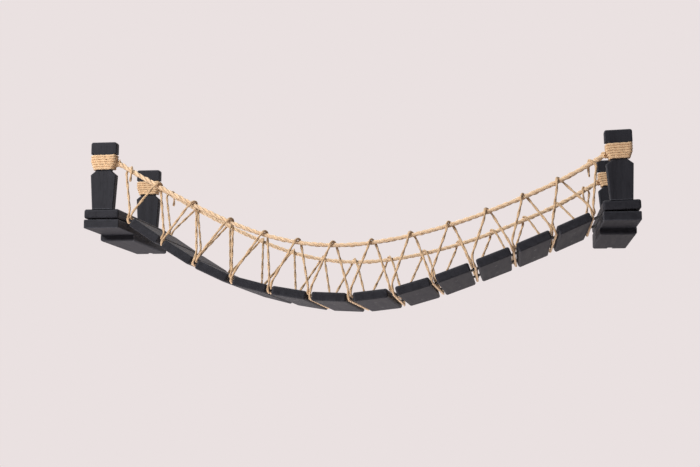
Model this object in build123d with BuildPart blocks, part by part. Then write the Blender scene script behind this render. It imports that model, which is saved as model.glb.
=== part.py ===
"""Cat wall bridge: twelve planks hung on two webbing straps between two wall brackets, with laced rope rails.

X runs along the wall, Y into the wall and Z up. The origin is the centre of the four wall screw holes,
on the wall and level with the straps where the brackets clamp them. All sizes are in millimetres.
"""

import os
from math import atan2, cos, pi, radians, sin, tan

from build123d import *

# Brackets
bridge_length = 870.0
bracket_depth = 279.0
board_width = 57.0
lower_board_t = 14.0
upper_board_t = 15.0
board_round = 3.6
lower_board_round = 1.6
block_length = 194.0
block_t = 11.0
block_round = 3.5
leans = {"left": 0.0, "right": 1.8}

# Posts, each with a waist that holds the rope winding
post_t = 15.0
post_height = 108.0
post_base_w = 34.5
post_flare_w = 41.5
post_flare_z = 55.0
waist_low_w = 23.0
waist_low_z = 62.5
waist_high_w = 33.0
waist_high_z = 75.5
post_cap_w = 42.0
post_cap_z = 89.0
post_cap_round = 3.6
post_edge_round = 2.0
rear_post_gap = 8.4
front_post_outs = {"left": -1.4, "right": 0.0}
rear_post_outs = {"left": 1.5, "right": 5.0}

# Deck
deck_ends = {"left": 16.2, "right": 13.9}
deck_start_drop = 2.2
plank_tilts = [-34.0, -32.0, -25.0, -14.5, -9.5, -2.5, 6.5, 16.0, 20.0, 20.9, 22.4, 23.5]
plank_gaps = [9.8, 9.0, 10.0, 10.5, 9.0, 9.0, 10.5, 12.5, 10.0, 12.0, 11.5, 12.0, 9.0]
plank_t = 14.5
plank_wall_gap = 37.0
plank_round = 3.4

# Webbing straps
strap_width = 30.0
strap_t = 1.6
strap_from_centre = 55.0
strap_clamped = 46.0
strap_side_clear = 0.5
strap_face_clear = 0.3
strap_leave = 5.0
strap_bend_share = 0.8

# Ropes
winding_d = 3.4
winding_turns = 6
winding_clear = 0.3
winding_slope_clear = 0.3
turn_gap = 0.52
rail_d = 6.8
rail_sag = 139.0
rail_end_zs = {"left": 75.0, "right": 71.0}
tie_x_shares = [-0.953, -0.838, -0.668, -0.516, -0.374, -0.233, -0.102,
                0.076, 0.223, 0.385, 0.531, 0.681, 0.817, 0.955]
tie_drop_shares = [0.072, 0.252, 0.502, 0.705, 0.860, 0.946, 0.986,
                   0.967, 0.873, 0.780, 0.624, 0.470, 0.300, 0.110]
lace_d = 3.4
lace_clear = 0.3
lace_strap_clear = 0.9
lace_inset = 0.8
lace_rise = 5.6
hitch_clear = 0.5
hitch_spread = 12.0
lace_tail = 12.0
arc_share = 0.45

# Steel wall brackets
wall_plate_w = 40.0
wall_plate_t = 4.0
wall_screw_rise = 16.0
wall_screw_hole_r = 2.75
wall_screw_head_r = 5.0
wall_plate_edge = 5.5
bar_width = 25.0
bar_t = 5.0
bar_length = 165.0
steel_clear = 0.3
countersink_angle = 90.0

# Fasteners
screw_r = 2.0
screw_head_r = 4.0
screw_fit = 0.05
screw_tip = 3.0
post_screw_length = 40.0
post_screw_spread = 18.0
board_screw_length = 25.0
board_screw_spread = 34.0
board_screw_from_strap = 28.0
lock_screw_r = 1.75
lock_screw_head_r = 3.5
lock_screw_head_t = 2.0
lock_pocket_w = 8.5
lock_pocket_depth = 12.0
lock_pocket_h = 4.0
lock_screw_from_wall = 8.2
brad_r = 0.8
brad_head_r = 2.0
brad_head_t = 0.8
brad_length = 12.5
overrun = 1.0

# Places that follow from the sizes above
SIDES = {"left": -1, "right": 1}
inner_half = bridge_length / 2 - board_width
bracket_x = bridge_length / 2 - board_width / 2
front_post_y = -bracket_depth + post_t / 2
rear_post_y = -rear_post_gap - post_t / 2
lower_top = -strap_t / 2
lower_bottom = lower_top - lower_board_t
block_bottom = lower_bottom - block_t
upper_bottom = strap_t / 2
plank_depth = bracket_depth - plank_wall_gap
deck_y = -bracket_depth + plank_depth / 2
wall_plate_half_h = wall_screw_rise / 2 + wall_plate_edge
bar_bottom = lower_bottom - bar_t
turn_pitch = winding_d + turn_gap
winding_start_z = waist_low_z + winding_d / 4
winding_y = post_t / 2 + winding_clear + winding_d / 2


def upper_frame(side):
    """Plane of the upper board's underside, at its inner lower edge, with this bracket's lean."""
    lean = radians(leans[side])
    sign = SIDES[side]
    return Plane(
        origin=(sign * inner_half, 0, upper_bottom),
        x_dir=(cos(lean), 0, sign * sin(lean)),
        z_dir=(-sign * sin(lean), 0, cos(lean)),
    )


def post_x(side, y_centre):
    """Place of a post's middle line, in the frame of its upper board."""
    outs = rear_post_outs if y_centre == rear_post_y else front_post_outs
    return SIDES[side] * (board_width / 2 + outs[side])


def post_plane(side, y_centre):
    """Plane of a post's front face, at the middle of its foot, facing the room."""
    frame = upper_frame(side)
    foot = frame.from_local_coords(Vector(post_x(side, y_centre), y_centre - post_t / 2, upper_board_t))
    return Plane(origin=foot, x_dir=frame.x_dir, z_dir=(0, -1, 0))


def gap_steps():
    """Half gap before each plank plus half gap after it, along the plank."""
    return [(before + after) / 2 for before, after in zip(plank_gaps, plank_gaps[1:])]


def plank_width():
    """Width that lets the planks and gaps fill the span between the brackets."""
    span = 2 * inner_half - deck_ends["left"] - deck_ends["right"]
    in_gaps = sum(step * cos(radians(tilt)) for step, tilt in zip(gap_steps(), plank_tilts))
    return (span - in_gaps) / sum(cos(radians(tilt)) for tilt in plank_tilts)


def deck_vertices():
    """Middles of the gaps, where the middle lines of neighbouring planks meet, from left to right."""
    points = [(deck_ends["left"] - inner_half, -deck_start_drop)]
    for step, tilt in zip(gap_steps(), plank_tilts):
        x, z = points[-1]
        along = plank_width() + step
        points.append((x + along * cos(radians(tilt)), z + along * sin(radians(tilt))))
    return points


def plank_plane(index):
    """Plane through the middle of a plank, with its X along the deck."""
    x, z = deck_vertices()[index]
    tilt = radians(plank_tilts[index])
    along = (plank_gaps[index] + plank_width()) / 2
    return Plane(
        origin=(x + along * cos(tilt), deck_y, z + along * sin(tilt)),
        x_dir=(cos(tilt), 0, sin(tilt)),
        z_dir=(-sin(tilt), 0, cos(tilt)),
    )


def wall_plate_space(bottom, top):
    """Box of the space that a steel wall plate takes in the boards, between two heights."""
    with BuildPart() as space:
        with BuildSketch(Plane.XY.offset(bottom)):
            with Locations((0, -wall_plate_t / 2)):
                Rectangle(wall_plate_w + 2 * steel_clear, wall_plate_t + 2 * steel_clear)
        extrude(amount=top - bottom)
    return space.part


def make_lower_board(side):
    """Lower board of a bracket, with the holes for the screws that pull the two boards together."""
    centre = SIDES[side] * bracket_x
    below = Plane(origin=(centre, 0, lower_bottom), x_dir=(1, 0, 0), z_dir=(0, 0, -1))
    with BuildPart() as board:
        with BuildSketch(Plane.XY.offset(lower_bottom)):
            with Locations((centre, -bracket_depth / 2)):
                Rectangle(board_width, bracket_depth)
        extrude(amount=lower_board_t)
        fillet(board.edges().filter_by(lambda edge: edge.center().Y < -overrun), lower_board_round)
        with Locations((centre, 0, 0)):
            add(wall_plate_space(lower_bottom - overrun, lower_top + overrun), mode=Mode.SUBTRACT)
        with Locations(below):
            with Locations(*[(x, -y) for x, y in board_screw_points()]):
                CounterSinkHole(screw_r + screw_fit, screw_head_r + screw_fit, lower_board_t + overrun, countersink_angle)
    return board.part


def board_screw_points():
    """Places of a bracket's board screws, from its middle line: between the straps and behind the rear one."""
    behind = deck_y + strap_from_centre + strap_width / 2 + board_screw_from_strap
    return [(x * board_screw_spread / 2, y) for x in (-1, 1) for y in (deck_y, behind)]


def post_screw_points(side):
    """Places of a bracket's post screws, in the frame of its upper board."""
    return [
        (post_x(side, y) + x * post_screw_spread / 2, y)
        for x in (-1, 1)
        for y in (front_post_y, rear_post_y)
    ]


def make_upper_board(side):
    """Upper board of a bracket, which carries the posts and leans with them."""
    frame = upper_frame(side)
    below = Plane(origin=frame.origin, x_dir=frame.x_dir, z_dir=-frame.z_dir)
    middle = SIDES[side] * board_width / 2
    with BuildPart() as board:
        with BuildSketch(frame):
            with Locations((middle, -bracket_depth / 2)):
                Rectangle(board_width, bracket_depth)
        extrude(amount=upper_board_t)
        fillet(board.edges().filter_by(lambda edge: edge.center().Y < -overrun), board_round)
        with Locations((SIDES[side] * bracket_x, 0, 0)):
            add(
                wall_plate_space(upper_bottom - overrun, wall_plate_half_h + steel_clear),
                mode=Mode.SUBTRACT,
            )
        with Locations(below):
            with Locations(*[(x, -y) for x, y in post_screw_points(side)]):
                CounterSinkHole(screw_r + screw_fit, screw_head_r + screw_fit, upper_board_t + overrun, countersink_angle)
        pilot_depth = board_screw_length - lower_board_t - strap_t + screw_fit
        with Locations((SIDES[side] * bracket_x, 0, upper_bottom)):
            with Locations(*board_screw_points()):
                Cylinder(screw_r + screw_fit, 2 * pilot_depth, mode=Mode.SUBTRACT)
    return board.part


def make_wall_block(side):
    """Block under the lower board at the wall, grooved for the steel bar, with a pocket for its lock screw."""
    centre = SIDES[side] * bracket_x
    with BuildPart() as block:
        with BuildSketch(Plane.XY.offset(block_bottom)):
            with Locations((centre, -block_length / 2)):
                Rectangle(board_width, block_length)
        extrude(amount=block_t)
        under = block.faces().sort_by(Axis.Z)[0].edges()
        fillet(under.filter_by(lambda edge: edge.center().Y < -overrun), block_round)
        with BuildSketch(Plane.XY.offset(lower_bottom)):
            with Locations((centre, -(bar_length + steel_clear) / 2)):
                Rectangle(bar_width + 2 * steel_clear, bar_length + steel_clear)
        extrude(amount=-bar_t - steel_clear, mode=Mode.SUBTRACT)
        with Locations((centre, 0, 0)):
            add(wall_plate_space(bar_bottom - steel_clear, lower_bottom + overrun), mode=Mode.SUBTRACT)
        with BuildSketch(Plane.XY.offset(block_bottom)):
            with Locations((centre, -lock_pocket_depth / 2)):
                Rectangle(lock_pocket_w, lock_pocket_depth)
        extrude(amount=lock_pocket_h, mode=Mode.SUBTRACT)
        with Locations((centre, -lock_screw_from_wall, block_bottom)):
            Cylinder(lock_screw_r + screw_fit, 2 * block_t, mode=Mode.SUBTRACT)
    return block.part


def make_steel_bracket(side):
    """Steel wall plate with two countersunk wall screw holes, welded to the bar that carries the boards."""
    centre = SIDES[side] * bracket_x
    with BuildPart() as bracket:
        with BuildSketch(Plane.XZ):
            with Locations((centre, (wall_plate_half_h + bar_bottom) / 2)):
                Rectangle(wall_plate_w, wall_plate_half_h - bar_bottom)
        extrude(amount=wall_plate_t)
        with BuildSketch(Plane.XY.offset(bar_bottom)):
            with Locations((centre, -bar_length / 2)):
                Rectangle(bar_width, bar_length)
        extrude(amount=bar_t)
        with Locations(Plane.XZ.offset(wall_plate_t)):
            with Locations((centre, -wall_screw_rise / 2), (centre, wall_screw_rise / 2)):
                CounterSinkHole(wall_screw_hole_r, wall_screw_head_r, wall_plate_t + overrun, countersink_angle)
        with Locations((centre, -lock_screw_from_wall, bar_bottom)):
            Cylinder(lock_screw_r + screw_fit, 2 * (bar_t - steel_clear), mode=Mode.SUBTRACT)
    return bracket.part


def make_lock_screw(side):
    """Pan head screw that locks the block to the steel bar."""
    centre = SIDES[side] * bracket_x
    seat = block_bottom + lock_pocket_h
    with BuildPart() as screw:
        with BuildSketch(Plane.XY.offset(seat)):
            with Locations((centre, -lock_screw_from_wall)):
                Circle(lock_screw_head_r)
        extrude(amount=-lock_screw_head_t)
        with BuildSketch(Plane.XY.offset(seat)):
            with Locations((centre, -lock_screw_from_wall)):
                Circle(lock_screw_r)
        extrude(amount=lower_bottom - 2 * steel_clear - seat)
    return screw.part


def countersunk_screw(length):
    """Wood screw with its head's face at Z zero and its point up."""
    head_t = (screw_head_r - screw_r) / tan(radians(countersink_angle / 2))
    with BuildPart() as screw:
        with BuildSketch(Plane.XZ):
            Polygon(
                (0, 0), (screw_head_r, 0), (screw_r, head_t), (screw_r, length - screw_tip), (0, length),
                align=None,
            )
        revolve(axis=Axis.Z)
    return screw.part


def make_post_screws(side):
    """Four screws that hold a bracket's two posts, driven up through the upper board."""
    frame = upper_frame(side).location
    return Compound(children=[
        frame * Pos(x, y, 0) * countersunk_screw(post_screw_length) for x, y in post_screw_points(side)
    ])


def make_board_screws(side):
    """Four screws that clamp the straps between a bracket's boards."""
    frame = Pos(SIDES[side] * bracket_x, 0, lower_bottom)
    return Compound(children=[
        frame * Pos(x, y, 0) * countersunk_screw(board_screw_length) for x, y in board_screw_points()
    ])


def make_post(side, y_centre):
    """Post with a flared body, a waist for the rope and a square cap."""
    half_outline = [
        (post_base_w / 2, 0), (post_flare_w / 2, post_flare_z), (waist_low_w / 2, waist_low_z),
        (waist_high_w / 2, waist_high_z), (waist_high_w / 2, post_cap_z), (post_cap_w / 2, post_cap_z),
        (post_cap_w / 2, post_height),
    ]
    mirrored = [(-x, y) for x, y in reversed(half_outline)]
    frame = upper_frame(side)
    foot = Plane(frame.from_local_coords(Vector(0, 0, upper_board_t)), frame.x_dir, frame.z_dir)
    with BuildPart() as post:
        with BuildSketch(post_plane(side, y_centre)) as outline:
            Polygon(*half_outline, *mirrored, align=None)
            fillet(outline.vertices().group_by(Axis.Y)[-1], post_cap_round)
        extrude(amount=-post_t)
        fillet(post.faces().filter_by(Axis.Y).edges().sort_by(Axis.Z)[2:], post_edge_round)
        pilot_depth = post_screw_length - upper_board_t + screw_fit
        with Locations(foot):
            with Locations(*[place for place in post_screw_points(side) if place[1] == y_centre]):
                Cylinder(screw_r + screw_fit, 2 * pilot_depth, mode=Mode.SUBTRACT)
    return post.part


def waist_half(z):
    """Half the width of a post's waist at a height over its foot."""
    share = min(max((z - waist_low_z) / (waist_high_z - waist_low_z), 0), 1)
    return (waist_low_w + share * (waist_high_w - waist_low_w)) / 2


def winding_half(z):
    """Half the width between the winding's centre lines at a height over the post's foot."""
    return waist_half(z) + winding_clear + winding_slope_clear + winding_d / 2


def winding_points():
    """Corners of the winding round a post, in the post plane's X, Y and outward direction."""
    back = -winding_y - post_t / 2
    points = [(0, winding_start_z, back)]
    for turn in range(winding_turns):
        for step, (across, out) in enumerate([(-1, -1), (-1, 1), (1, 1), (1, -1)]):
            z = winding_start_z + turn_pitch * (turn + (step + 1 / 2) / 4)
            points.append((across * winding_half(z), z, out * winding_y - post_t / 2))
    points.append((0, winding_start_z + turn_pitch * winding_turns, back))
    return points


def corner_radii(points, most):
    """Radius of each corner's arc: as large as its two runs allow, up to a given radius."""
    radii = []
    for before, corner, after in zip(points, points[1:], points[2:]):
        back, ahead = corner - before, after - corner
        half_turn = radians(back.get_angle(ahead)) / 2
        radii.append(min(most, arc_share * min(back.length, ahead.length) / tan(half_turn)))
    return radii


def make_tube(name, points, diameter, widest, gap_steps=0):
    """Round tube along straight runs joined by tangent arcs, with its radii and volume printed."""
    points = [Vector(*point) for point in points]
    radii = corner_radii(points, widest)
    with BuildPart() as tube:
        with BuildLine():
            route = FilletPolyline(*points, radius=radii)
        with BuildSketch(Plane(origin=route @ 0, z_dir=route % 0)):
            Circle(diameter / 2)
        sweep()
    section = pi * diameter**2 / 4
    print(f"{name}: length {route.length:.1f}, radii {min(radii):.1f} to {max(radii):.1f},",
          f"volume over section times length {tube.part.volume / section / route.length:.4f}")
    if gap_steps:
        print(f"{name}: least gap to itself {least_self_gap(route, diameter, gap_steps):.2f}")
    return tube.part


def make_winding(side, y_centre):
    """Rope wound round a post's waist, as one unbroken tube."""
    frame = post_plane(side, y_centre)
    points = [frame.from_local_coords(Vector(*point)) for point in winding_points()]
    return make_tube(f"{side} winding", points, winding_d, winding_d, gap_steps=400)


def least_self_gap(route, diameter, steps):
    """Least gap between stretches of a tube that are further apart along it than half a turn's bend."""
    points = [route @ (step / steps) for step in range(steps + 1)]
    apart = round(steps * 2 * pi * diameter / route.length)
    return min(
        (there - here).length - diameter
        for step, here in enumerate(points)
        for there in points[step + apart:]
    )


def make_plank(index):
    """Plank with rounded edges and two slots that the straps run through."""
    frame = plank_plane(index)
    with BuildPart() as plank:
        with BuildSketch(Plane(frame.from_local_coords(Vector(0, 0, -plank_t / 2)), frame.x_dir, frame.z_dir)):
            Rectangle(plank_width(), plank_depth)
        extrude(amount=plank_t)
        fillet(plank.edges(), plank_round)
        with BuildSketch(Plane(frame.origin, (0, 1, 0), frame.x_dir)):
            with Locations((-strap_from_centre, 0), (strap_from_centre, 0)):
                Rectangle(strap_width + 2 * strap_side_clear, strap_t + 2 * strap_face_clear)
        extrude(amount=plank_width() / 2 + overrun, both=True, mode=Mode.SUBTRACT)
        with Locations(Plane(frame.from_local_coords(Vector(0, 0, -plank_t / 2)), frame.x_dir, frame.z_dir)):
            with Locations((0, -strap_from_centre), (0, strap_from_centre)):
                Cylinder(brad_r + screw_fit, 2 * (brad_length + screw_fit), mode=Mode.SUBTRACT)
                Cylinder(brad_head_r + screw_fit, 2 * brad_head_t, mode=Mode.SUBTRACT)
    return plank.part


def brad():
    """Flat headed brad with its head's face at Z zero and its shank up."""
    with BuildPart() as nail:
        with BuildSketch():
            Circle(brad_head_r)
        extrude(amount=brad_head_t)
        with BuildSketch():
            Circle(brad_r)
        extrude(amount=brad_length)
    return nail.part


def make_brads(index):
    """Two brads that pin a plank to its straps."""
    place = plank_plane(index).location * Pos(0, 0, -plank_t / 2)
    return Compound(children=[place * Pos(0, y, 0) * brad() for y in (-strap_from_centre, strap_from_centre)])


def make_strap(y_centre):
    """Webbing strap, clamped in both brackets and running through every plank."""
    vertices = [(x, y_centre, z) for x, z in deck_vertices()]
    clamp = inner_half + strap_clamped
    leave = inner_half - strap_leave
    points = [(-clamp, y_centre, 0), (-leave, y_centre, 0), *vertices, (leave, y_centre, 0), (clamp, y_centre, 0)]
    points = [Vector(*point) for point in points]
    radii = []
    gaps = [plank_gaps[0], *plank_gaps, plank_gaps[-1]]
    for before, corner, after, gap in zip(points, points[1:], points[2:], gaps):
        half_turn = radians((corner - before).get_angle(after - corner)) / 2
        radii.append(strap_bend_share * gap / 2 / tan(half_turn))
    with BuildPart() as strap:
        with BuildLine():
            route = FilletPolyline(*points, radius=radii)
        with BuildSketch(Plane(origin=route @ 0, x_dir=(0, 1, 0), z_dir=route % 0)):
            Rectangle(strap_width, strap_t)
        sweep()
        for index in range(len(plank_tilts)):
            frame = plank_plane(index)
            centre = frame.from_local_coords(Vector(0, y_centre - deck_y, 0))
            with Locations(Plane(centre, frame.x_dir, frame.z_dir)):
                Cylinder(brad_r + screw_fit, 2 * strap_t, mode=Mode.SUBTRACT)
    return strap.part


def rail_end(side, rail_y):
    """Place, in X and Z, where a rail leaves the winding on a post's inner side."""
    sign = SIDES[side]
    out = winding_half(rail_end_zs[side]) + winding_d / 2 + winding_clear + rail_d / 4
    frame = post_plane(side, rail_y)
    point = frame.from_local_coords(Vector(-sign * out, rail_end_zs[side], 0))
    return point.X, point.Z


def tie_points(rail_y):
    """Places, in X and Z, where the lacing is hitched to a rail, from left to right."""
    (left_x, left_z), (right_x, right_z) = rail_end("left", rail_y), rail_end("right", rail_y)
    middle, half = (left_x + right_x) / 2, (right_x - left_x) / 2
    top = (left_z + right_z) / 2
    return [
        (middle + half * across, top - rail_sag * drop)
        for across, drop in zip(tie_x_shares, tie_drop_shares)
    ]


def rail_points(rail_y):
    """Corners of a rail's route, in X and Z: its ends, and the middle of each stretch between two ties."""
    ties = tie_points(rail_y)
    middles = [((x0 + x1) / 2, (z0 + z1) / 2) for (x0, z0), (x1, z1) in zip(ties, ties[1:])]
    return [rail_end("left", rail_y), *middles, rail_end("right", rail_y)]


def make_rail(name, y_centre):
    """Rope handrail from one bracket's post to the other's."""
    return make_tube(name, [(x, y_centre, z) for x, z in rail_points(y_centre)], rail_d, bridge_length)


def hitch_points(index, rail_y, outward):
    """Four corners that take the lacing round the middle of one of a rail's runs, on along the rail.

    It comes up outside the rail, goes over it and comes down inside it. At each end of a rail it is
    hitched the other way along, so that its tail lies towards the bridge's middle.
    """
    (x0, z0), (x1, z1) = rail_points(rail_y)[index:index + 2]
    middle_x, middle_z = (x0 + x1) / 2, (z0 + z1) / 2
    slope = atan2(z1 - z0, x1 - x0)
    reach = (rail_d + lace_d) / 2 + hitch_clear
    spread = -hitch_spread if index in (0, len(plank_tilts) + 1) else hitch_spread
    points = []
    for out, up, share in ((1, -1, -1 / 2), (1, 1, -1 / 6), (-1, 1, 1 / 6), (-1, -1, 1 / 2)):
        along, off = spread * share, reach * up
        x = middle_x + along * cos(slope) - off * sin(slope)
        points.append((x, rail_y + outward * reach * out, middle_z + along * sin(slope) + off * cos(slope)))
    return points


def gap_points(index, outward, across, depth):
    """Two points of the lacing at one end of a gap: over the planks' top face, and in the gap at a depth."""
    tilts = [plank_tilts[0], *plank_tilts, plank_tilts[-1]]
    lean = radians((tilts[index] + tilts[index + 1]) / 2)
    if index in (0, len(plank_tilts)):
        lean = lean / 2
    x, z = deck_vertices()[index]
    shift = across * (lace_d + lace_clear) / 2
    y = deck_y + outward * (plank_depth / 2 - lace_inset - lace_d / 2)
    return [
        (x + shift * cos(lean) - height * sin(lean), y, z + shift * sin(lean) + height * cos(lean))
        for height in (plank_t / 2 + lace_rise, depth)
    ]


def lace_points(first_front):
    """Route of one lacing rope, which crosses the deck in every gap and is hitched to the rails in turn.

    The rope that starts at the front rail crosses under the straps, and the other one over them.
    """
    below = strap_t / 2 + lace_strap_clear + lace_d / 2
    depth = -below if first_front else below
    front = first_front
    rails = {True: (front_post_y, -1), False: (rear_post_y, 1)}
    points = []
    for index in range(len(plank_tilts) + 1):
        rail_y, outward = rails[front]
        points += hitch_points(index, rail_y, outward)
        points += gap_points(index, outward, -1, depth)
        front = not front
        outward = rails[front][1]
        points += reversed(gap_points(index, outward, 1, depth))
    points += hitch_points(len(plank_tilts) + 1, *rails[front])
    first, last = points[0], points[-1]
    points[0] = (first[0], first[1], first[2] - lace_tail)
    points[-1] = (last[0], last[1], last[2] - lace_tail)
    return points


def make_lace(name, first_front):
    """Lacing rope that ties the deck to both rails."""
    return make_tube(name, lace_points(first_front), lace_d, (rail_d + lace_d) / 2)


def all_parts():
    """Every node's name with its part."""
    for side in SIDES:
        yield f"{side}_lower_board", make_lower_board(side)
        yield f"{side}_upper_board", make_upper_board(side)
        yield f"{side}_wall_block", make_wall_block(side)
        yield f"{side}_steel_bracket", make_steel_bracket(side)
        yield f"{side}_lock_screw", make_lock_screw(side)
        yield f"{side}_post_screws", make_post_screws(side)
        yield f"{side}_board_screws", make_board_screws(side)
        for place, y_centre in (("front", front_post_y), ("rear", rear_post_y)):
            yield f"{side}_{place}_post", make_post(side, y_centre)
            yield f"{side}_{place}_winding", make_winding(side, y_centre)
    for index in range(len(plank_tilts)):
        yield f"plank_{index + 1:02d}", make_plank(index)
        yield f"plank_{index + 1:02d}_brads", make_brads(index)
    yield "front_strap", make_strap(deck_y - strap_from_centre)
    yield "rear_strap", make_strap(deck_y + strap_from_centre)
    yield "front_rail", make_rail("front_rail", front_post_y)
    yield "rear_rail", make_rail("rear_rail", rear_post_y)
    yield "first_lace", make_lace("first_lace", True)
    yield "second_lace", make_lace("second_lace", False)


os.makedirs("parts", exist_ok=True)
for name, part in all_parts():
    part.label = name
    export_step(part, f"parts/{name}.step")
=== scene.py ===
"""Looks of a cat wall bridge: charcoal stained boards and planks, black webbing and twisted jute ropes.

X runs along the wall, Y into the wall and Z up, in metres. The origin is the centre of the four wall
screw holes. The ropes' routes repeat the part's own sizes, so each strand lies where the solid rope lies.
"""

import logging
import math
from dataclasses import dataclass
from enum import Enum

import bpy
import numpy as np
from mathutils import Matrix, Vector

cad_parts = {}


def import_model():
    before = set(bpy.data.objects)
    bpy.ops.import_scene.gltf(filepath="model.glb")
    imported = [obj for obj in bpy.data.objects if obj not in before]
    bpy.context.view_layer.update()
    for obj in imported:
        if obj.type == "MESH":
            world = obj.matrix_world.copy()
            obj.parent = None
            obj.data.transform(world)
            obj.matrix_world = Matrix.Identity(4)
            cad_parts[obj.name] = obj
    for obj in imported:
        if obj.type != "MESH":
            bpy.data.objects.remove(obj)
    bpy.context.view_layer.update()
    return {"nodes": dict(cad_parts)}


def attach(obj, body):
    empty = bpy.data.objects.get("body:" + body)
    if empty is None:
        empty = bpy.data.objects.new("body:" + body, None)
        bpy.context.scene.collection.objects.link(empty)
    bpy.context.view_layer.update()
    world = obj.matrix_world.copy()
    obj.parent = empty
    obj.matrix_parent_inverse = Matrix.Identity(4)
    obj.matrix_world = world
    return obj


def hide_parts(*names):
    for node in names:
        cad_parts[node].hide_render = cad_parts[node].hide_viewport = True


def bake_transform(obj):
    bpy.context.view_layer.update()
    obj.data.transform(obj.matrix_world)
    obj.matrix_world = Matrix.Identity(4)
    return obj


LOG = logging.getLogger("cat_wall_bridge")
Point = tuple[float, float, float]
Array = np.ndarray
Socket = bpy.types.NodeSocket
Piece = bpy.types.Object
Material = bpy.types.Material
Inputs = dict[str | int, object]


class Side(Enum):
    """End of the bridge, as the sign of its X."""

    LEFT = -1
    RIGHT = 1

    @property
    def label(self) -> str:
        """Word that starts the names of this side's pieces."""
        return self.name.lower()


class Grain(Enum):
    """Direction of the wood's grain, as the pattern's scale along X, Y and Z."""

    ALONG_DEPTH = (1.0, 0.07, 1.0)
    ALONG_HEIGHT = (1.0, 1.0, 0.07)


class RailPlace(Enum):
    """Which handrail a rope belongs to, with the sign of its outward Y."""

    FRONT = -1
    REAR = 1


@dataclass(frozen=True)
class BridgePlan:
    """Sizes that the ropes share with the boards, in metres."""

    bridge_length: float = 0.870
    bracket_depth: float = 0.279
    board_width: float = 0.057
    upper_board_t: float = 0.015
    strap_t: float = 0.0016
    strap_width: float = 0.030
    strap_from_centre: float = 0.055
    strap_clamped: float = 0.046
    strap_leave: float = 0.005
    post_t: float = 0.015
    rear_post_gap: float = 0.0084
    left_front_out: float = -0.0014
    left_rear_out: float = 0.0015
    right_rear_out: float = 0.005
    left_deck_end: float = 0.0162
    right_deck_end: float = 0.0139
    deck_start_drop: float = 0.0022
    plank_tilts: tuple[float, ...] = (-34.0, -32.0, -25.0, -14.5, -9.5, -2.5,
                                      6.5, 16.0, 20.0, 20.9, 22.4, 23.5)
    plank_gaps: tuple[float, ...] = (0.0098, 0.009, 0.010, 0.0105, 0.009, 0.009, 0.0105,
                                     0.0125, 0.010, 0.012, 0.0115, 0.012, 0.009)
    plank_t: float = 0.0145
    plank_wall_gap: float = 0.037
    right_lean: float = 1.8
    waist_low_w: float = 0.023
    waist_low_z: float = 0.0625
    waist_high_w: float = 0.033
    waist_high_z: float = 0.0755

    @property
    def inner_half(self) -> float:
        """X of the boards' inner faces."""
        return self.bridge_length / 2 - self.board_width

    @property
    def plank_depth(self) -> float:
        """Length of a plank, from front to rear."""
        return self.bracket_depth - self.plank_wall_gap

    @property
    def deck_y(self) -> float:
        """Y of the middle of the planks."""
        return -self.bracket_depth + self.plank_depth / 2

    def post_y(self, place: RailPlace) -> float:
        """Y of the middle of a front or rear post."""
        if place is RailPlace.FRONT:
            return -self.bracket_depth + self.post_t / 2
        return -self.rear_post_gap - self.post_t / 2

    def deck_vertices(self) -> Array:
        """Middles of the gaps, where the middle lines of neighbouring planks meet.

        Each step is one plank and half of both its gaps long, at the plank's tilt. The planks are as wide
        as the span between the brackets needs.

        Returns:
            Array of 13 rows of X and Z.
        """
        tilts = np.radians(self.plank_tilts)
        gaps = np.array(self.plank_gaps)
        in_gaps = (gaps[:-1] + gaps[1:]) / 2
        span = 2 * self.inner_half - self.left_deck_end - self.right_deck_end
        width = (span - in_gaps @ np.cos(tilts)) / np.cos(tilts).sum()
        steps = (width + in_gaps)[:, None] * np.column_stack([np.cos(tilts), np.sin(tilts)])
        chain = np.vstack([np.zeros(2), np.cumsum(steps, axis=0)])
        return chain + np.array([self.left_deck_end - self.inner_half, -self.deck_start_drop])

    def post_out(self, side: Side, place: RailPlace) -> float:
        """Distance of a post's middle line outward of its board's middle line."""
        if place is RailPlace.FRONT:
            return self.left_front_out if side is Side.LEFT else 0.0
        return self.left_rear_out if side is Side.LEFT else self.right_rear_out

    def post_point(
        self, side: Side, place: RailPlace, across: Array, up: Array, y: Array
    ) -> Array:
        """Carries places on a post, across it and up from its foot, into the bridge's frame.

        Args:
            side: End of the bridge.
            place: Front or rear post.
            across: Distance from the post's middle line, along X.
            up: Height over the upper board.
            y: Y in the bridge's frame.

        Returns:
            Array of points, one row each.
        """
        lean = math.radians(self.right_lean if side is Side.RIGHT else 0.0)
        sign = side.value
        over = sign * (self.board_width / 2 + self.post_out(side, place)) + across
        high = self.upper_board_t + up
        x = sign * self.inner_half + over * math.cos(lean) - high * sign * math.sin(lean)
        z = self.strap_t / 2 + over * sign * math.sin(lean) + high * math.cos(lean)
        return np.column_stack(np.broadcast_arrays(x, y, z))

    def waist_half(self, up: Array) -> Array:
        """Half the width of a post's waist at heights over its foot."""
        share = np.clip((up - self.waist_low_z) / (self.waist_high_z - self.waist_low_z), 0, 1)
        return (self.waist_low_w + share * (self.waist_high_w - self.waist_low_w)) / 2


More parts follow.
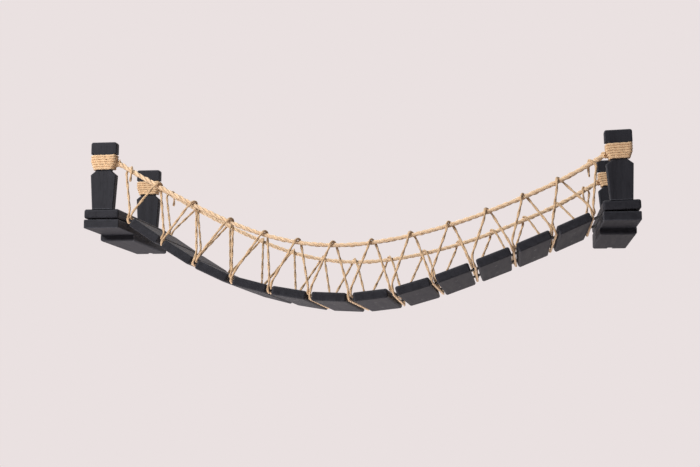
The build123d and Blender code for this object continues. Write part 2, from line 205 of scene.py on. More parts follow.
@dataclass
class Nodes:
    """Nodes of one node tree, which starts empty."""

    tree: bpy.types.NodeTree

    def __post_init__(self) -> None:
        """Empties the tree."""
        self.tree.nodes.clear()

    def feed(self, node: bpy.types.Node, inputs: Inputs) -> None:
        """Fills inputs of a node.

        Args:
            node: The node.
            inputs: What each input gets, by its name or number: another node's socket, or a value.
        """
        for name, value in inputs.items():
            if isinstance(value, Socket):
                self.tree.links.new(value, node.inputs[name])
            else:
                node.inputs[name].default_value = value

    def add(self, kind: str, inputs: Inputs | None = None, **settings: object) -> bpy.types.Node:
        """Adds a node.

        Args:
            kind: The node's type name.
            inputs: What its inputs get.
            settings: The node's own properties.

        Returns:
            The new node.
        """
        node = self.tree.nodes.new(kind)
        for name, value in settings.items():
            setattr(node, name, value)
        self.feed(node, inputs or {})
        return node

    def calculate(self, operation: str, *values: Socket | float) -> Socket:
        """Adds a calculation.

        Args:
            operation: Its name.
            values: Its values, each a socket or a number.

        Returns:
            Socket of the result.
        """
        return self.add("ShaderNodeMath", dict(enumerate(values)), operation=operation).outputs["Value"]

    def span(self, value: Socket, to: tuple[float, float], low: float = 0.3, high: float = 0.7) -> Socket:
        """Maps a value from one range to another, held at its ends.

        Args:
            value: Socket of the value.
            to: Results at the start and end.
            low: Start of the range, by default that of soft noise.
            high: End of the range.

        Returns:
            Socket of the result.
        """
        inputs = {"Value": value, "From Min": low, "From Max": high, "To Min": to[0], "To Max": to[1]}
        return self.add("ShaderNodeMapRange", inputs).outputs["Result"]


class ShaderNodes(Nodes):
    """Nodes of a new material, with its surface shader and output.

    The colour mix has sockets of the same name for each kind of data, so its own are known by number.
    """

    MIX_SHARE, MIX_FIRST, MIX_SECOND, MIX_RESULT = 0, 6, 7, 2

    def __init__(self, name: str) -> None:
        """Makes the material, with a name."""
        self.material = bpy.data.materials.new(name)
        self.material.use_nodes = True
        super().__init__(self.material.node_tree)
        self.surface = self.add("ShaderNodeBsdfPrincipled")
        self.add("ShaderNodeOutputMaterial", {"Surface": self.surface.outputs["BSDF"]})

    def finish(self, inputs: Inputs) -> Material:
        """Gives the surface its colour and its other values.

        Args:
            inputs: What the surface shader's inputs get.

        Returns:
            The material.
        """
        self.feed(self.surface, inputs)
        return self.material

    def place(self, scale: Point = (1.0, 1.0, 1.0), source: str = "Object") -> Socket:
        """Gives the piece's own coordinates, scaled along each axis.

        Args:
            scale: Scale along each axis.
            source: Output of the coordinate node.

        Returns:
            Socket of the scaled coordinates.
        """
        own = self.add("ShaderNodeTexCoord").outputs[source]
        return self.add("ShaderNodeMapping", {"Vector": own, "Scale": scale}).outputs["Vector"]

    def noise(self, place: Socket, scale: float, detail: float, rough: float = 0.5) -> Socket:
        """Adds soft noise.

        Args:
            place: Coordinates.
            scale: Repeats for each metre of the coordinates.
            detail: Octaves.
            rough: Strength of the finer octaves.

        Returns:
            Socket of the noise, from 0 to 1.
        """
        inputs = {"Vector": place, "Scale": scale, "Detail": detail, "Roughness": rough}
        return self.add("ShaderNodeTexNoise", inputs).outputs["Fac"]

    def ramp(self, value: Socket, stops: list[tuple[float, Point]]) -> Socket:
        """Turns a value into colours.

        Args:
            value: Socket of the value.
            stops: The first and last stop's value and colour.

        Returns:
            Socket of the colour.
        """
        node = self.add("ShaderNodeValToRGB", {"Fac": value})
        for element, (position, colour) in zip(node.color_ramp.elements, stops):
            element.position = position
            element.color = (*colour, 1.0)
        return node.outputs["Color"]

    def swing(self, value: Socket) -> Socket:
        """Turns a count of repeats into a smooth wave from 0 to 1, one wave for each repeat.

        Args:
            value: Socket of the count.

        Returns:
            Socket of the wave.
        """
        sine = self.calculate("SINE", self.calculate("MULTIPLY", value, 2 * math.pi))
        return self.span(sine, (0.0, 1.0), -1.0, 1.0)

    def blend(self, share: Socket, first: Socket, second: Socket | Point) -> Socket:
        """Mixes two colours.

        Args:
            share: Socket of the second colour's share.
            first: Socket of the first colour.
            second: Socket of the second colour, or the colour itself.

        Returns:
            Socket of the mixed colour.
        """
        if isinstance(second, tuple):
            second = (*second, 1.0)
        inputs = {self.MIX_SHARE: share, self.MIX_FIRST: first, self.MIX_SECOND: second}
        return self.add("ShaderNodeMix", inputs, data_type="RGBA").outputs[self.MIX_RESULT]

    def bump(self, heights: list[tuple[Socket, float]]) -> None:
        """Roughens the surface with heights laid over each other.

        Args:
            heights: Socket of each height from 0 to 1, and its depth in metres.
        """
        below = {}
        for height, depth in heights:
            inputs = {"Strength": 1.0, "Distance": depth, "Height": height, **below}
            below = {"Normal": self.add("ShaderNodeBump", inputs).outputs["Normal"]}
        self.feed(self.surface, below)


@dataclass(frozen=True)
class CharcoalStain:
    """Wood stained charcoal: dark pores along the grain and a satin coat, with a painted highlight along the
    rounded edges.
    """

    grain: Grain
    base: Point = (0.029, 0.0295, 0.036)
    pore: Point = (0.013, 0.0132, 0.0165)
    # Colour of the painted highlight along the rounded edges.
    painted_highlight: Point = (0.17, 0.18, 0.21)
    edge_reach: float = 0.002
    edge_samples: int = 4
    edge_cosines: tuple[float, float] = (1.0, 0.9)
    highlight_strength: float = 0.6
    pores_per_metre: float = 900.0
    bands_per_metre: float = 120.0
    clouds_per_metre: float = 22.0
    rough: tuple[float, float] = (0.5, 0.62)
    specular: float = 0.08
    band_depth: float = 0.00012
    pore_depth: float = 0.00007

    def material(self) -> Material:
        """Builds the stained wood.

        Returns:
            The material.
        """
        nodes = ShaderNodes(f"charcoal_stain_{self.grain.name.lower()}")
        along = nodes.place(self.grain.value)
        pores = nodes.noise(along, self.pores_per_metre, 4.0, 0.6)
        bands = nodes.noise(along, self.bands_per_metre, 3.0, 0.55)
        clouds = nodes.noise(nodes.place(), self.clouds_per_metre, 3.0, 0.6)
        figure = nodes.ramp(bands, [(0.3, self.pore), (0.62, self.base)])
        fine = nodes.ramp(pores, [(0.34, self.pore), (0.5, self.base)])
        colour = nodes.blend(nodes.span(clouds, (0.35, 0.65)), figure, fine)
        # Painted highlight: the edges, where a rounded normal departs from the true one, are painted paler,
        # broken up by the pores.
        rounded = nodes.add("ShaderNodeBevel", {"Radius": self.edge_reach}, samples=self.edge_samples)
        normals = {0: rounded.outputs["Normal"], 1: nodes.add("ShaderNodeNewGeometry").outputs["Normal"]}
        dot = nodes.add("ShaderNodeVectorMath", normals, operation="DOT_PRODUCT")
        edge = nodes.span(dot.outputs["Value"], (0.0, self.highlight_strength), *self.edge_cosines)
        # Share of the painted highlight: strong at the edges, broken up by the pores.
        highlight_share = nodes.calculate("MULTIPLY", edge, nodes.span(pores, (0.25, 1.0), 0.35, 0.6))
        colour = nodes.blend(highlight_share, colour, self.painted_highlight)
        nodes.bump([(bands, self.band_depth), (pores, self.pore_depth)])
        rough = nodes.span(bands, self.rough)
        return nodes.finish({"Base Color": colour, "Roughness": rough, "Specular IOR Level": self.specular})


@dataclass(frozen=True)
class Jute:
    """Jute fibre: straw coloured hairs that run along the strand, with darker strands between."""

    name: str
    light: Point = (0.80, 0.57, 0.345)
    dark: Point = (0.58, 0.375, 0.215)
    fibres_across: float = 26.0
    fibres_along: float = 90.0
    patches_per_metre: float = 70.0
    fibre_depth: float = 0.0003

    def material(self) -> Material:
        """Builds the fibre, whose pattern follows the strand's own map: metres along it, and once round it.

        Returns:
            The material.
        """
        nodes = ShaderNodes(self.name)
        fibre = nodes.noise(nodes.place((self.fibres_along, self.fibres_across, 1.0), "UV"), 1.0, 3.0, 0.65)
        patch = nodes.noise(nodes.place(), self.patches_per_metre, 2.0)
        colour = nodes.ramp(fibre, [(0.32, self.dark), (0.58, self.light)])
        colour = nodes.blend(nodes.span(patch, (0.0, 0.35)), colour, self.dark)
        nodes.bump([(fibre, self.fibre_depth)])
        return nodes.finish({
            "Base Color": colour, "Roughness": 0.88, "Specular IOR Level": 0.2, "Sheen Weight": 0.25,
            "Sheen Roughness": 0.5,
        })


@dataclass(frozen=True)
class Webbing:
    """Black woven strap: ribs along it, crossed by fine picks."""

    colour: Point = (0.016, 0.016, 0.018)
    thread: Point = (0.042, 0.042, 0.046)
    ribs_round: float = 52.0
    picks_per_metre: float = 620.0
    fuzz_per_metre: float = 1800.0
    weave_depth: float = 0.00025
    fuzz_depth: float = 0.00008

    def material(self) -> Material:
        """Builds the weave on the strap's own map: metres along it, and once round it.

        Returns:
            The material.
        """
        nodes = ShaderNodes("black_webbing")
        place = nodes.place((self.picks_per_metre, self.ribs_round, 1.0), "UV")
        parts = nodes.add("ShaderNodeSeparateXYZ", {"Vector": place}).outputs
        weave = nodes.calculate("MULTIPLY", nodes.swing(parts["X"]), nodes.swing(parts["Y"]))
        fuzz = nodes.noise(nodes.place(), self.fuzz_per_metre, 2.0)
        colour = nodes.ramp(weave, [(0.05, self.colour), (0.6, self.thread)])
        colour = nodes.blend(nodes.span(fuzz, (0.0, 0.5)), colour, self.colour)
        nodes.bump([(weave, self.weave_depth), (fuzz, self.fuzz_depth)])
        return nodes.finish({"Base Color": colour, "Roughness": 0.72, "Sheen Weight": 0.15})


@dataclass(frozen=True)
class ZincSteel:
    """Zinc plated steel, with faint mottling."""

    name: str
    light: Point = (0.62, 0.62, 0.6)
    dull: Point = (0.45, 0.46, 0.46)
    mottles_per_metre: float = 300.0
    mottle_depth: float = 0.00002

    def material(self) -> Material:
        """Builds the plating.

        Returns:
            The material.
        """
        nodes = ShaderNodes(self.name)
        mottle = nodes.noise(nodes.place(), self.mottles_per_metre, 4.0, 0.6)
        colour = nodes.ramp(mottle, [(0.35, self.dull), (0.65, self.light)])
        nodes.bump([(mottle, self.mottle_depth)])
        rough = nodes.span(mottle, (0.3, 0.45))
        return nodes.finish({"Base Color": colour, "Roughness": rough, "Metallic": 1.0})


def turned(rotation: Array, vector: Array) -> Array:
    """Turns vectors by unit quaternions: v + 2w(q x v) + 2q x (q x v).

    Args:
        rotation: One quaternion a row, real part first.
        vector: One vector, or one a row.

    Returns:
        The turned vectors.
    """
    real, axis = rotation[:, :1], rotation[:, 1:]
    once = np.cross(axis, vector)
    return vector + 2 * real * once + 2 * np.cross(axis, once)


def product(second: Array, first: Array) -> Array:
    """Joins pairs of turns, the first one made first.

    Args:
        second: Quaternions of the later turns, one a row.
        first: Quaternions of the earlier turns, one a row.

    Returns:
        Their products, scaled to unit length.
    """
    real = second[:, :1] * first[:, :1] - np.sum(second[:, 1:] * first[:, 1:], axis=1, keepdims=True)
    axis = second[:, :1] * first[:, 1:] + first[:, :1] * second[:, 1:] + np.cross(second[:, 1:], first[:, 1:])
    joined = np.hstack([real, axis])
    return joined / np.linalg.norm(joined, axis=1, keepdims=True)


def unit(vectors: Array) -> Array:
    """Scales each row to unit length."""
    return vectors / np.linalg.norm(vectors, axis=1, keepdims=True)


def even_steps(path: Array, step: float) -> Array:
    """Spaces points evenly along a path.

    Args:
        path: Points of the path, one a row.
        step: Distance wanted between points.

    Returns:
        The evenly spaced points, with both ends kept.
    """
    reach = np.concatenate([[0.0], np.cumsum(np.linalg.norm(np.diff(path, axis=0), axis=1))])
    places = np.linspace(0.0, reach[-1], max(4, round(reach[-1] / step)))
    return np.column_stack([np.interp(places, reach, path[:, axis]) for axis in range(3)])


def path_frames(path: Array) -> tuple[Array, Array]:
    """Finds two directions square to a path that turn round it as little as possible.

    Each point's turn is the smallest one from the tangent before, and the turns are joined by doubling the
    stretch that each one covers until they all reach back to the start.

    Args:
        path: Points of the path, one a row.

    Returns:
        The two directions at each point.
    """
    tangent = unit(np.gradient(path, axis=0))
    turn = np.hstack([
        1 + np.sum(tangent[:-1] * tangent[1:], axis=1, keepdims=True), np.cross(tangent[:-1], tangent[1:])
    ])
    turns = np.vstack([[1.0, 0.0, 0.0, 0.0], unit(turn)])
    reach = 1
    while reach < len(turns):
        turns = np.vstack([turns[:reach], product(turns[reach:], turns[:-reach])])
        reach *= 2
    start = np.cross(tangent[0], np.eye(3)[np.argmin(np.abs(tangent[0]))])
    first = turned(turns, start / np.linalg.norm(start))
    first = unit(first - tangent * np.sum(first * tangent, axis=1, keepdims=True))
    return first, np.cross(tangent, first)


@dataclass(frozen=True)
class TwistedRope:
    """Rope of strands laid round each other, as one closed mesh for each strand.

    The strands are pressed into each other, and part a little here and there. A rope may be fuller at its
    ends. Shares are of the diameter, and the waves' numbers are radians for each metre of the rope.
    """

    SWELL_WAVES, PART_WAVES = (311.0, 97.0), (173.0, 61.0)
    END_RADIUS, END_POWER = 0.12, 3

    diameter: float
    pitch_share: float
    sides: int
    rings_per_turn: int
    strands: int = 2
    reach_share: float = 0.62
    strand_share: float = 0.38
    plump: float = 0.04
    parting: float = 0.05
    end_fullness: float = 0.0

    def mesh(self, name: str, path: Array) -> Piece:
        """Carries each strand's round section along a path while it turns round the path.

        The strand's centre is p(s) + a (cos t e1 + sin t e2), where t grows by a full turn each pitch, and
        its section is a circle about that centre. The distance a and the radius swell and shrink a little
        along the rope, and the radius closes at both ends. A full rope's a and radius grow by f |2s/L - 1|^3.

        Args:
            name: Name of the piece.
            path: Points of the rope's centre line, one a row.

        Returns:
            The new piece.
        """
        pitch = self.pitch_share * self.diameter
        centre = even_steps(path, pitch / self.rings_per_turn)
        first, second = path_frames(centre)
        step = np.linalg.norm(centre[1] - centre[0])
        along = np.arange(len(centre)) * step
        radius = self.strand_share * self.diameter
        offset = self.reach_share * self.diameter - radius
        angle = np.linspace(0, 2 * math.pi, self.sides, endpoint=False)
        ends = np.clip(np.minimum(along, along[-1] - along) / radius, 0, 1)
        full = 1 + self.end_fullness * np.abs(2 * along / along[-1] - 1) ** self.END_POWER
        swell = np.sqrt(1 - (1 - ends) ** 2).clip(self.END_RADIUS) * full
        quick, slow = self.SWELL_WAVES
        swell = swell * (1 + self.plump * np.sin(along * quick) * np.sin(along * slow))
        quick, slow = self.PART_WAVES
        parted = 1 - self.parting + self.parting * np.sin(along * quick) * np.cos(along * slow)
        apart = offset * full * parted
        vertices = []
        for strand in range(self.strands):
            lay = 2 * math.pi * (along / pitch + strand / self.strands)
            middle = centre + apart[:, None] * (np.cos(lay)[:, None] * first + np.sin(lay)[:, None] * second)
            ring = lay[:, None] + angle[None, :]
            reach = (radius * swell)[:, None, None]
            vertices.append(
                middle[:, None, :] + reach * (np.cos(ring)[..., None] * first[:, None, :]
                                              + np.sin(ring)[..., None] * second[:, None, :])
            )
        return tube_object(name, np.array(vertices), along)


def tube_object(name: str, rings: Array, along: Array) -> Piece:
    """Makes closed tubes from rings of points, with a map of metres along and once round.

    Args:
        name: Name of the piece.
        rings: Points, by tube, ring and place round the ring.
        along: Distance of each ring from the start.

    Returns:
        The new piece.
    """
    tubes, count, sides, _ = rings.shape
    index = np.arange(tubes * count * sides).reshape(tubes, count, sides)
    after = np.roll(index, -1, axis=2)
    quads = np.stack([index[:, :-1], after[:, :-1], after[:, 1:], index[:, 1:]], axis=-1).reshape(-1, 4)
    caps = [*index[:, 0, ::-1].tolist(), *index[:, -1].tolist()]
    mesh = bpy.data.meshes.new(name)
    mesh.from_pydata(rings.reshape(-1, 3).tolist(), [], [*quads.tolist(), *caps])
    shape = (tubes, count - 1, sides)
    low, high = (np.broadcast_to(ends[:, None], shape) for ends in (along[:-1], along[1:]))
    place = np.broadcast_to(np.arange(sides) / sides, shape)
    u = np.stack([low, low, high, high], axis=-1).ravel()
    v = np.stack([place, place + 1 / sides, place + 1 / sides, place], axis=-1).ravel()
    uv = np.vstack([np.column_stack([u, v]), np.zeros((2 * tubes * sides, 2))])
    mesh.uv_layers.new(name="strand").data.foreach_set("uv", uv.ravel())
    mesh.polygons.foreach_set("use_smooth", np.ones(len(mesh.polygons), dtype=bool))
    mesh.update()
    piece = bpy.data.objects.new(name, mesh)
    bpy.context.scene.collection.objects.link(piece)
    return piece


def dress(piece: Piece, material: Material, node: str | None = None) -> None:
    """Gives a piece its material, and hides the solid whose place it takes.

    Args:
        piece: The piece.
        material: Its material.
        node: The solid whose place it takes, if any.
    """
    piece.data.materials.append(material)
    if node:
        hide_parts(node)
    LOG.info("%s: %d faces", piece.name, len(piece.data.polygons))


def route_line(points: Array, resolution: int) -> Array:
    """Reads the smooth line of a route.

    Args:
        points: Control points of the route, one a row.
        resolution: Points of the line for each control point.

    Returns:
        Points of the line, one a row.
    """
    curve = bpy.data.curves.new("route", "CURVE")
    curve.dimensions = "3D"
    curve.resolution_u = resolution
    spline = curve.splines.new("NURBS")
    spline.points.add(len(points) - 1)
    spline.points.foreach_set("co", np.column_stack([points, np.ones(len(points))]).ravel())
    spline.order_u = 3
    spline.use_endpoint_u = True
    holder = bpy.data.objects.new("route", curve)
    mesh = bpy.data.meshes.new_from_object(holder)
    line = np.empty(len(mesh.vertices) * 3)
    mesh.vertices.foreach_get("co", line)
    bpy.data.objects.remove(holder)
    bpy.data.curves.remove(curve)
    bpy.data.meshes.remove(mesh)
    return line.reshape(-1, 3)


@dataclass
class PostWindings:
    """Thin rope wound six times round the waist of each post."""

    plan: BridgePlan
    rope: TwistedRope = TwistedRope(
        diameter=0.0034, pitch_share=9.0, sides=12, rings_per_turn=22, strands=3, reach_share=0.655,
        strand_share=0.43, plump=0.03, parting=0.0,
    )
    finish: Jute = Jute("winding_jute")
    turns: int = 6
    turn_pitch: float = 0.00392
    clear: float = 0.0006
    side_clear: float = 0.0003
    corner_power: float = 8.0
    samples_per_turn: int = 120

    def line(self, side: Side, place: RailPlace) -> Array:
        """Winds a line round a post: a superellipse as wide as the waist, that climbs a pitch each turn.

        Args:
            side: End of the bridge.
            place: Front or rear post.

        Returns:
            Points of the line, one a row.
        """
        turn = np.linspace(0.0, self.turns, self.samples_per_turn * self.turns)
        up = self.plan.waist_low_z + self.rope.diameter / 4 + self.turn_pitch * turn
        angle = 2 * math.pi * turn
        across = -self.power(np.sin(angle)) * (self.plan.waist_half(up) + self.clear + self.rope.diameter / 2)
        out = -self.power(np.cos(angle)) * (self.plan.post_t / 2 + self.side_clear + self.rope.diameter / 2)
        return self.plan.post_point(side, place, across, up, self.plan.post_y(place) - out)

    def power(self, value: Array) -> Array:
        """Squares off a sine or cosine, so that the line has flat sides and round corners."""
        return np.sign(value) * np.abs(value) ** (2 / self.corner_power)

    def build(self) -> None:
        """Makes the four windings and puts each in its solid's place."""
        material = self.finish.material()
        for side in Side:
            for place in RailPlace:
                node = f"{side.label}_{place.name.lower()}_winding"
                piece = self.rope.mesh(f"{node}_strands", self.line(side, place))
                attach(piece, "frame")
                dress(piece, material, node)


@dataclass
class Handrails:
    """Twisted rope rails that hang from winding to winding in front of the deck and behind it."""

    plan: BridgePlan
    windings: PostWindings
    rope: TwistedRope = TwistedRope(
        diameter=0.0068, pitch_share=4.8, sides=12, rings_per_turn=26, strands=3, reach_share=0.55,
        strand_share=0.28, plump=0.13, parting=0.16, end_fullness=0.2,
    )
    # The rail's jute is paler than the other ropes' jute: a painted highlight, in place of the fine
    # highlights along its fibres.
    finish: Jute = Jute("rail_jute", light=(0.88, 0.665, 0.445), dark=(0.60, 0.41, 0.25))
    sag: float = 0.139
    left_end_up: float = 0.075
    right_end_up: float = 0.071
    front_length: float = 0.8219
    rear_length: float = 0.8293
    points_per_corner: int = 24
    tie_x_shares: tuple[float, ...] = (-0.953, -0.838, -0.668, -0.516, -0.374, -0.233, -0.102,
                                       0.076, 0.223, 0.385, 0.531, 0.681, 0.817, 0.955)
    tie_drop_shares: tuple[float, ...] = (0.072, 0.252, 0.502, 0.705, 0.860, 0.946, 0.986,
                                          0.967, 0.873, 0.780, 0.624, 0.470, 0.300, 0.110)

    def end(self, side: Side, place: RailPlace) -> Array:
        """X and Z where a rail leaves the winding on a post's inner side."""
        up = self.left_end_up if side is Side.LEFT else self.right_end_up
        winding = self.windings.rope.diameter + self.windings.clear + self.windings.side_clear
        out = self.plan.waist_half(np.array(up)) + winding + self.rope.diameter / 4
        return self.plan.post_point(side, place, -side.value * out, up, 0.0)[0, [0, 2]]

    def route(self, place: RailPlace) -> Array:
        """Corners of a rail in X and Z: its ends, and the middle of each stretch between two ties.

        Args:
            place: Front or rear rail.

        Returns:
            Array of rows of X and Z.
        """
        left, right = (self.end(side, place) for side in Side)
        middle = (left + right) / 2
        ties = np.column_stack([
            middle[0] + (right[0] - left[0]) / 2 * np.array(self.tie_x_shares),
            middle[1] - self.sag * np.array(self.tie_drop_shares),
        ])
        return np.vstack([left, (ties[:-1] + ties[1:]) / 2, right])

    def build(self) -> None:
        """Makes both rails and puts each in its solid's place."""
        material = self.finish.material()
        for place, length in zip(RailPlace, (self.front_length, self.rear_length)):
            corners = np.insert(self.route(place), 1, self.plan.post_y(place), axis=1)
            line = route_line(corners, self.points_per_corner)
            node = f"{place.name.lower()}_rail"
            piece = self.rope.mesh(f"{node}_strands", line)
            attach(piece, "frame")
            dress(piece, material, node)


@dataclass
class Lacings:
    """Two thin ropes that cross the deck in every gap between planks and are hitched to the rails in turn.

    The rope that starts in front crosses under the straps, and the other over them.
    """

    plan: BridgePlan
    rails: Handrails
    rope: TwistedRope = TwistedRope(
        diameter=0.0034, pitch_share=11.0, sides=8, rings_per_turn=18, reach_share=0.66, strand_share=0.42,
        parting=0.12,
    )
    finish: Jute = Jute("lacing_jute", light=(0.70, 0.50, 0.305), dark=(0.46, 0.295, 0.165))
    clear: float = 0.0003
    strap_clear: float = 0.0009
    inset: float = 0.0008
    rise: float = 0.0056
    hitch_clear: float = 0.0005
    hitch_spread: float = 0.012
    tail: float = 0.012
    first_length: float = 5.6446
    second_length: float = 5.4712
    steady: float = 0.02
    points_per_corner: int = 12

    def hitch(self, index: int, place: RailPlace) -> Array:
        """Four corners that take the lacing round the middle of one of a rail's runs, on along the rail.

        At each end of a rail it is hitched the other way along, so that its tail lies towards the middle.

        Args:
            index: Number of the rail's run.
            place: Front or rear rail.

        Returns:
            Array of four points: outside below, outside above, inside above, inside below.
        """
        start, end = self.rails.route(place)[index:index + 2]
        middle = (start + end) / 2
        slope = math.atan2(end[1] - start[1], end[0] - start[0])
        reach = (self.rails.rope.diameter + self.rope.diameter) / 2 + self.hitch_clear
        out, up = reach * np.array([1, 1, -1, -1]), reach * np.array([-1, 1, 1, -1])
        last = len(self.plan.plank_tilts) + 1
        spread = -self.hitch_spread if index in (0, last) else self.hitch_spread
        along = spread * np.array([-1 / 2, -1 / 6, 1 / 6, 1 / 2])
        return np.column_stack([
            middle[0] + along * math.cos(slope) - up * math.sin(slope),
            self.plan.post_y(place) + place.value * out,
            middle[1] + along * math.sin(slope) + up * math.cos(slope),
        ])

    def gap(self, index: int, place: RailPlace, across: int, depth: float) -> Array:
        """Two points at one end of a gap: over the planks' top face, and in the gap at a depth.

        Args:
            index: Number of the gap.
            place: Front or rear end of the gap.
            across: Which side of the gap's middle line, as a sign.
            depth: Height of the crossing over the planks' middle line.

        Returns:
            Array of two points.
        """
        tilts = (self.plan.plank_tilts[0], *self.plan.plank_tilts, self.plan.plank_tilts[-1])
        lean = math.radians((tilts[index] + tilts[index + 1]) / 2)
        if index in (0, len(self.plan.plank_tilts)):
            lean /= 2
        x, z = self.plan.deck_vertices()[index]
        shift = across * (self.rope.diameter + self.clear) / 2
        height = np.array([self.plan.plank_t / 2 + self.rise, depth])
        y = self.plan.deck_y + place.value * (self.plan.plank_depth / 2 - self.inset - self.rope.diameter / 2)
        return np.column_stack([
            x + shift * math.cos(lean) - height * math.sin(lean), np.full(2, y),
            z + shift * math.sin(lean) + height * math.cos(lean),
        ])

    def steadied(self, start: Array, end: Array, near_start: float, near_end: float) -> Array:
        """Two points on a long straight stretch, one near each end, that keep the line on it.

        Args:
            start: Start of the stretch.
            end: End of the stretch.
            near_start: Distance of the first point from the start.
            near_end: Distance of the second point from the end.

        Returns:
            Array of two points.
        """
        way = (end - start) / np.linalg.norm(end - start)
        return np.array([start + way * near_start, end - way * near_end])

    def route(self, place: RailPlace) -> Array:
        """Corners of one lacing rope.

        Args:
            place: The rail that it starts at.

        Returns:
            Array of points.
        """
        depth = place.value * (self.plan.strap_t / 2 + self.strap_clear + self.rope.diameter / 2)
        turn = self.rails.rope.diameter + self.rope.diameter + 2 * self.hitch_clear
        pieces = [self.hitch(0, place)]
        pieces[0][0] -= np.array([0, 0, self.tail])
        for index in range(len(self.plan.plank_tilts) + 1):
            mouth = self.gap(index, place, -1, depth)
            place = RailPlace(-place.value)
            far = self.gap(index, place, 1, depth)[::-1]
            hitch = self.hitch(index + 1, place)
            drop = np.linalg.norm(mouth[0] - mouth[1])
            pieces += [
                self.steadied(pieces[-1][-1], mouth[0], turn, drop), mouth,
                self.steadied(mouth[1], far[0], self.steady, self.steady), far,
                self.steadied(far[1], hitch[0], drop, turn), hitch,
            ]
        pieces[-1][-1] -= np.array([0, 0, self.tail])
        return np.vstack(pieces)

    def build(self) -> None:
        """Makes both lacing ropes and puts each in its solid's place."""
        material = self.finish.material()
        lengths = {"first_lace": self.first_length, "second_lace": self.second_length}
        for place, (node, length) in zip(RailPlace, lengths.items()):
            line = route_line(self.route(place), self.points_per_corner)
            piece = self.rope.mesh(f"{node}_strands", line)
            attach(piece, "frame")
            dress(piece, material, node)


@dataclass
class Straps:
    """Two webbing straps, clamped in both brackets, that run through every plank.

    Both are cut in the middle of each gap and plank.
    """

    plan: BridgePlan
    finish: Webbing = Webbing()
    bend_share: float = 0.8
    bend_samples: int = 9
    ring_step: float = 0.0022
    across_samples: int = 41
    rib_depth: float = 0.0001
    ribs: int = 13
    flatness: int = 10

    def line(self) -> Array:
        """Runs a line through the clamps and the middles of the gaps, bent smoothly in every gap.

        Each bend is a parabola between points on the two runs that meet there.

        Returns:
            Array of rows of X and Z.
        """
        plan = self.plan
        clamp, leave = plan.inner_half + plan.strap_clamped, plan.inner_half - plan.strap_leave
        corners = np.vstack([
            [-clamp, 0.0], [-leave, 0.0], plan.deck_vertices(), [leave, 0.0], [clamp, 0.0]
        ])
        gaps = np.array([plan.plank_gaps[0], *plan.plank_gaps, plan.plank_gaps[-1]])
        reach = self.bend_share * gaps[:, None] / 2
        way = unit(np.diff(corners, axis=0))
        before, after = corners[1:-1] - reach * way[:-1], corners[1:-1] + reach * way[1:]
        share = np.linspace(0, 1, self.bend_samples)[None, :, None]
        bends = ((1 - share) ** 2 * before[:, None] + 2 * share * (1 - share) * corners[1:-1, None]
                 + share**2 * after[:, None])
        return np.vstack([corners[:1], bends.reshape(-1, 2), corners[-1:]])

    def marks(self) -> Array:
        """Places the cuts: the middles of the gaps and of the planks, in turn from the left.

        Returns:
            Array of 25 rows of X and Z.
        """
        vertices = self.plan.deck_vertices()
        gaps = np.array(self.plan.plank_gaps)
        run = np.diff(vertices, axis=0)
        share = 0.5 + (gaps[:-1] - gaps[1:]) / (4 * np.linalg.norm(run, axis=1))
        marks = np.empty((2 * len(vertices) - 1, 2))
        marks[::2] = vertices
        marks[1::2] = vertices[:-1] + share[:, None] * run
        return marks

    def bend(self, piece: Piece, section: int, marks: Array) -> None:
        """Puts an end section of a strap on the frame, and bakes any other section's placement into its mesh.

        Args:
            piece: The section.
            section: Its number from the left, from 0.
            marks: Where its strap is cut, one a row.
        """
        if section in (0, len(marks)):
            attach(piece, "frame")
            return
        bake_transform(piece)

    def rings(self, path: Array) -> Array:
        """Lays a ring across the strap at each point of its path.

        A ring goes over the strap's top from one selvedge to the other and back below. Its half thickness
        is h(v) = t/2 (1 - |v|^10)^(1/2), with ribs r |sin(n pi v)| sunk in it.

        Args:
            path: Points of the strap's middle line, one a row.

        Returns:
            Points by ring and place round it.
        """
        normal = -np.cross(unit(np.gradient(path, axis=0)), np.array([0.0, 1.0, 0.0]))
        share = np.linspace(-1, 1, self.across_samples)
        half = self.plan.strap_t / 2 * np.sqrt(1 - np.abs(share) ** self.flatness)
        rib = self.rib_depth * np.abs(np.sin(self.ribs * np.pi * share))
        half = half - rib * (half > self.rib_depth)
        over = np.concatenate([share, share[-2:0:-1]])
        rise = np.concatenate([half, -half[-2:0:-1]])
        return (path[:, None, :] + normal[:, None, :] * rise[None, :, None]
                + np.array([0.0, self.plan.strap_width / 2, 0.0]) * over[None, :, None])

    def build(self) -> None:
        """Makes both straps in sections and puts each in its solid's place."""
        material = self.finish.material()
        for name, sign in (("front_strap", -1), ("rear_strap", 1)):
            middle = self.plan.deck_y + sign * self.plan.strap_from_centre
            line, marks = (np.insert(flat, 1, middle, axis=1) for flat in (self.line(), self.marks()))
            path = even_steps(line, self.ring_step)
            along = np.arange(len(path)) * np.linalg.norm(path[1] - path[0])
            rings = self.rings(path)
            cuts = [int(np.argmin(np.linalg.norm(path - mark, axis=1))) for mark in marks]
            for section, (first, last) in enumerate(zip([0, *cuts], [*cuts, len(path) - 1])):
                kept = slice(first, last + 1)
                piece = tube_object(f"{name}_webbing_{section:02d}", rings[None, kept], along[kept])
                self.bend(piece, section, marks)
                dress(piece, material, name)


